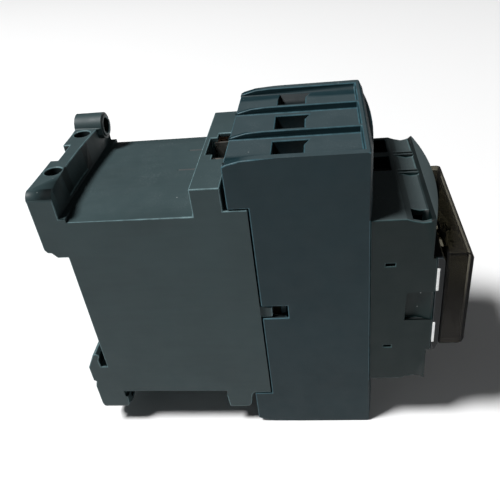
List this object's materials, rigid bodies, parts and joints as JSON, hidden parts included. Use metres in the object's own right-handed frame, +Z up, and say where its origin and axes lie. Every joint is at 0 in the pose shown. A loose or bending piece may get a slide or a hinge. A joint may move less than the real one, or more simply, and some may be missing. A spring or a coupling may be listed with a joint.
{
  "type": "industrial control relay",
  "caption": "Contactor-form control relay for a 35 mm rail: deep magnet housing, three-pole terminal block, auxiliary contact front and a smoked push-on cover.",
  "frame": {"origin": "centre of the rail seat face, on the rail's centre line", "axes": "+Z up along the height, front faces -Y, mounting side faces +Y, +X to the right when seen from the front"},
  "size_m": [0.045, 0.1023, 0.085],
  "materials": {
    "rear_plastic": "dark slate grey moulded thermoplastic, satin",
    "block_plastic": "dark slate blue-grey moulded thermoplastic, satin",
    "front_plastic": "dark slate moulded thermoplastic, satin",
    "bezel_plastic": "black moulded thermoplastic",
    "label_white": "plain white label stock",
    "smoked_cover": "smoked transparent polycarbonate",
    "core_steel": "ground soft iron",
    "pad_rubber": "matt rubber",
    "shim_brass": "thin brass",
    "inner_plastic": "natural glass-filled polyamide",
    "winding_wire": "enamelled copper wire",
    "suppressor_case": "black potted case",
    "indicator_white": "white moulded marker",
    "spring_steel": "bright spring wire",
    "screw_steel": "zinc-plated steel",
    "clamp_steel": "plated steel",
    "contact_copper": "copper with silver tips"
  },
  "bodies": {
    "relay_body": {"base_housing": "rear_plastic", "contact_housing": "block_plastic", "front_housing": "front_plastic", "front_bezel": "bezel_plastic", "label_strips": "label_white", "fixed_core": "core_steel", "core_pads": "pad_rubber", "residual_shim": "shim_brass", "coil_bobbin": "inner_plastic", "coil_winding": "winding_wire", "coil_suppressor": "suppressor_case", "coil_contacts": "contact_copper", "return_spring_left": "spring_steel", "return_spring_right": "spring_steel", "line_contacts": "contact_copper", "load_contacts": "contact_copper", "aux_contacts_no": "contact_copper", "aux_contacts_nc": "contact_copper", "rail_spring": "spring_steel"},
    "contact_carrier": {"contact_carrier": "inner_plastic", "armature": "core_steel", "armature_pin": "screw_steel", "position_indicator": "indicator_white", "bridge_spring_1": "spring_steel", "bridge_spring_2": "spring_steel", "bridge_spring_3": "spring_steel", "aux_spring_no": "spring_steel", "aux_spring_nc": "spring_steel"},
    "bridge_1": {"bridge_1": "contact_copper"},
    "bridge_2": {"bridge_2": "contact_copper"},
    "bridge_3": {"bridge_3": "contact_copper"},
    "aux_bridge_no": {"aux_bridge_no": "contact_copper"},
    "aux_bridge_nc": {"aux_bridge_nc": "contact_copper"},
    "line_clamp_1": {"line_clamp_1": "clamp_steel"},
    "line_screw_1": {"line_screw_1": "screw_steel"},
    "line_clamp_2": {"line_clamp_2": "clamp_steel"},
    "line_screw_2": {"line_screw_2": "screw_steel"},
    "line_clamp_3": {"line_clamp_3": "clamp_steel"},
    "line_screw_3": {"line_screw_3": "screw_steel"},
    "load_clamp_1": {"load_clamp_1": "clamp_steel"},
    "load_screw_1": {"load_screw_1": "screw_steel"},
    "load_clamp_2": {"load_clamp_2": "clamp_steel"},
    "load_screw_2": {"load_screw_2": "screw_steel"},
    "load_clamp_3": {"load_clamp_3": "clamp_steel"},
    "load_screw_3": {"load_screw_3": "screw_steel"},
    "aux_clamp_1": {"aux_clamp_1": "clamp_steel"},
    "aux_screw_1": {"aux_screw_1": "screw_steel"},
    "aux_clamp_2": {"aux_clamp_2": "clamp_steel"},
    "aux_screw_2": {"aux_screw_2": "screw_steel"},
    "aux_clamp_3": {"aux_clamp_3": "clamp_steel"},
    "aux_screw_3": {"aux_screw_3": "screw_steel"},
    "aux_clamp_4": {"aux_clamp_4": "clamp_steel"},
    "aux_screw_4": {"aux_screw_4": "screw_steel"},
    "coil_clamp_1": {"coil_clamp_1": "clamp_steel"},
    "coil_screw_1": {"coil_screw_1": "screw_steel"},
    "coil_clamp_2": {"coil_clamp_2": "clamp_steel"},
    "coil_screw_2": {"coil_screw_2": "screw_steel"},
    "clear_cover": {"clear_cover": "smoked_cover"},
    "rail_plunger": {"rail_plunger": "rear_plastic"}
  },
  "joints": [
    {"name": "carrier_slide", "type": "slide", "parent": "relay_body", "child": "contact_carrier", "axis": [0, 1, 0], "range_m": [0, 0.006], "stiffness_N_per_m": 700, "springref_m": -0.004, "deforming": ["return_spring_left", "return_spring_right"]},
    {"name": "bridge_1_overtravel", "type": "slide", "parent": "contact_carrier", "child": "bridge_1", "axis": [0, -1, 0], "range_m": [0, 0.002], "deforming": ["bridge_spring_1"]},
    {"name": "bridge_2_overtravel", "type": "slide", "parent": "contact_carrier", "child": "bridge_2", "axis": [0, -1, 0], "range_m": [0, 0.002], "deforming": ["bridge_spring_2"]},
    {"name": "bridge_3_overtravel", "type": "slide", "parent": "contact_carrier", "child": "bridge_3", "axis": [0, -1, 0], "range_m": [0, 0.002], "deforming": ["bridge_spring_3"]},
    {"name": "aux_no_overtravel", "type": "slide", "parent": "contact_carrier", "child": "aux_bridge_no", "axis": [0, -1, 0], "range_m": [0, 0.002], "deforming": ["aux_spring_no"]},
    {"name": "aux_nc_overtravel", "type": "slide", "parent": "contact_carrier", "child": "aux_bridge_nc", "axis": [0, -1, 0], "range_m": [0, 0.002], "deforming": ["aux_spring_nc"]},
    {"name": "line_screw_1_turn", "type": "hinge", "parent": "relay_body", "child": "line_screw_1", "pos_m": [-0.015, -0.0655, 0.03], "axis": [0, 1, 0], "range_deg": [0, 1440]},
    {"name": "line_clamp_1_travel", "type": "slide", "parent": "relay_body", "child": "line_clamp_1", "axis": [0, -1, 0], "range_m": [0, 0.003]},
    {"name": "line_screw_2_turn", "type": "hinge", "parent": "relay_body", "child": "line_screw_2", "pos_m": [0, -0.0655, 0.03], "axis": [0, 1, 0], "range_deg": [0, 1440]},
    {"name": "line_clamp_2_travel", "type": "slide", "parent": "relay_body", "child": "line_clamp_2", "axis": [0, -1, 0], "range_m": [0, 0.003]},
    {"name": "line_screw_3_turn", "type": "hinge", "parent": "relay_body", "child": "line_screw_3", "pos_m": [0.015, -0.0655, 0.03], "axis": [0, 1, 0], "range_deg": [0, 1440]},
    {"name": "line_clamp_3_travel", "type": "slide", "parent": "relay_body", "child": "line_clamp_3", "axis": [0, -1, 0], "range_m": [0, 0.003]},
    {"name": "load_screw_1_turn", "type": "hinge", "parent": "relay_body", "child": "load_screw_1", "pos_m": [-0.015, -0.0655, -0.033], "axis": [0, 1, 0], "range_deg": [0, 1440]},
    {"name": "load_clamp_1_travel", "type": "slide", "parent": "relay_body", "child": "load_clamp_1", "axis": [0, -1, 0], "range_m": [0, 0.003]},
    {"name": "load_screw_2_turn", "type": "hinge", "parent": "relay_body", "child": "load_screw_2", "pos_m": [0, -0.0655, -0.033], "axis": [0, 1, 0], "range_deg": [0, 1440]},
    {"name": "load_clamp_2_travel", "type": "slide", "parent": "relay_body", "child": "load_clamp_2", "axis": [0, -1, 0], "range_m": [0, 0.003]},
    {"name": "load_screw_3_turn", "type": "hinge", "parent": "relay_body", "child": "load_screw_3", "pos_m": [0.015, -0.0655, -0.033], "axis": [0, 1, 0], "range_deg": [0, 1440]},
    {"name": "load_clamp_3_travel", "type": "slide", "parent": "relay_body", "child": "load_clamp_3", "axis": [0, -1, 0], "range_m": [0, 0.003]},
    {"name": "aux_screw_1_turn", "type": "hinge", "parent": "relay_body", "child": "aux_screw_1", "pos_m": [0.006, -0.0845, 0.018], "axis": [0, 1, 0], "range_deg": [0, 1440]},
    {"name": "aux_clamp_1_travel", "type": "slide", "parent": "relay_body", "child": "aux_clamp_1", "axis": [0, -1, 0], "range_m": [0, 0.0024]},
    {"name": "aux_screw_2_turn", "type": "hinge", "parent": "relay_body", "child": "aux_screw_2", "pos_m": [0.0166, -0.0845, 0.018], "axis": [0, 1, 0], "range_deg": [0, 1440]},
    {"name": "aux_clamp_2_travel", "type": "slide", "parent": "relay_body", "child": "aux_clamp_2", "axis": [0, -1, 0], "range_m": [0, 0.0024]},
    {"name": "aux_screw_3_turn", "type": "hinge", "parent": "relay_body", "child": "aux_screw_3", "pos_m": [0.006, -0.0845, -0.021], "axis": [0, 1, 0], "range_deg": [0, 1440]},
    {"name": "aux_clamp_3_travel", "type": "slide", "parent": "relay_body", "child": "aux_clamp_3", "axis": [0, -1, 0], "range_m": [0, 0.0024]},
    {"name": "aux_screw_4_turn", "type": "hinge", "parent": "relay_body", "child": "aux_screw_4", "pos_m": [0.0166, -0.0845, -0.021], "axis": [0, 1, 0], "range_deg": [0, 1440]},
    {"name": "aux_clamp_4_travel", "type": "slide", "parent": "relay_body", "child": "aux_clamp_4", "axis": [0, -1, 0], "range_m": [0, 0.0024]},
    {"name": "coil_screw_1_turn", "type": "hinge", "parent": "relay_body", "child": "coil_screw_1", "pos_m": [-0.007, -0.045, 0.031], "axis": [0, 1, 0], "range_deg": [0, 1440]},
    {"name": "coil_clamp_1_travel", "type": "slide", "parent": "relay_body", "child": "coil_clamp_1", "axis": [0, -1, 0], "range_m": [0, 0.002]},
    {"name": "coil_screw_2_turn", "type": "hinge", "parent": "relay_body", "child": "coil_screw_2", "pos_m": [0.007, -0.045, 0.031], "axis": [0, 1, 0], "range_deg": [0, 1440]},
    {"name": "coil_clamp_2_travel", "type": "slide", "parent": "relay_body", "child": "coil_clamp_2", "axis": [0, -1, 0], "range_m": [0, 0.002]},
    {"name": "cover_pull", "type": "slide", "parent": "relay_body", "child": "clear_cover", "axis": [0, -1, 0], "range_m": [0, 0.02]},
    {"name": "rail_plunger_slide", "type": "slide", "parent": "relay_body", "child": "rail_plunger", "axis": [0, 0, -1], "range_m": [0, 0.0035], "stiffness_N_per_m": 3000, "springref_m": -0.002, "deforming": ["rail_spring"]}
  ],
  "couplings": [
    {"joint": "bridge_1_overtravel", "follows": "carrier_slide", "ratio": 0.3333},
    {"joint": "bridge_2_overtravel", "follows": "carrier_slide", "ratio": 0.3333},
    {"joint": "bridge_3_overtravel", "follows": "carrier_slide", "ratio": 0.3333},
    {"joint": "aux_no_overtravel", "follows": "carrier_slide", "ratio": 0.3333},
    {"joint": "aux_nc_overtravel", "follows": "carrier_slide", "ratio": 0.3333},
    {"joint": "line_screw_1_turn", "follows": "line_clamp_1_travel", "rad_per_m": 8377.6},
    {"joint": "line_screw_2_turn", "follows": "line_clamp_2_travel", "rad_per_m": 8377.6},
    {"joint": "line_screw_3_turn", "follows": "line_clamp_3_travel", "rad_per_m": 8377.6},
    {"joint": "load_screw_1_turn", "follows": "load_clamp_1_travel", "rad_per_m": 8377.6},
    {"joint": "load_screw_2_turn", "follows": "load_clamp_2_travel", "rad_per_m": 8377.6},
    {"joint": "load_screw_3_turn", "follows": "load_clamp_3_travel", "rad_per_m": 8377.6},
    {"joint": "aux_screw_1_turn", "follows": "aux_clamp_1_travel", "rad_per_m": 10472},
    {"joint": "aux_screw_2_turn", "follows": "aux_clamp_2_travel", "rad_per_m": 10472},
    {"joint": "aux_screw_3_turn", "follows": "aux_clamp_3_travel", "rad_per_m": 10472},
    {"joint": "aux_screw_4_turn", "follows": "aux_clamp_4_travel", "rad_per_m": 10472},
    {"joint": "coil_screw_1_turn", "follows": "coil_clamp_1_travel", "rad_per_m": 12566},
    {"joint": "coil_screw_2_turn", "follows": "coil_clamp_2_travel", "rad_per_m": 12566}
  ]
}
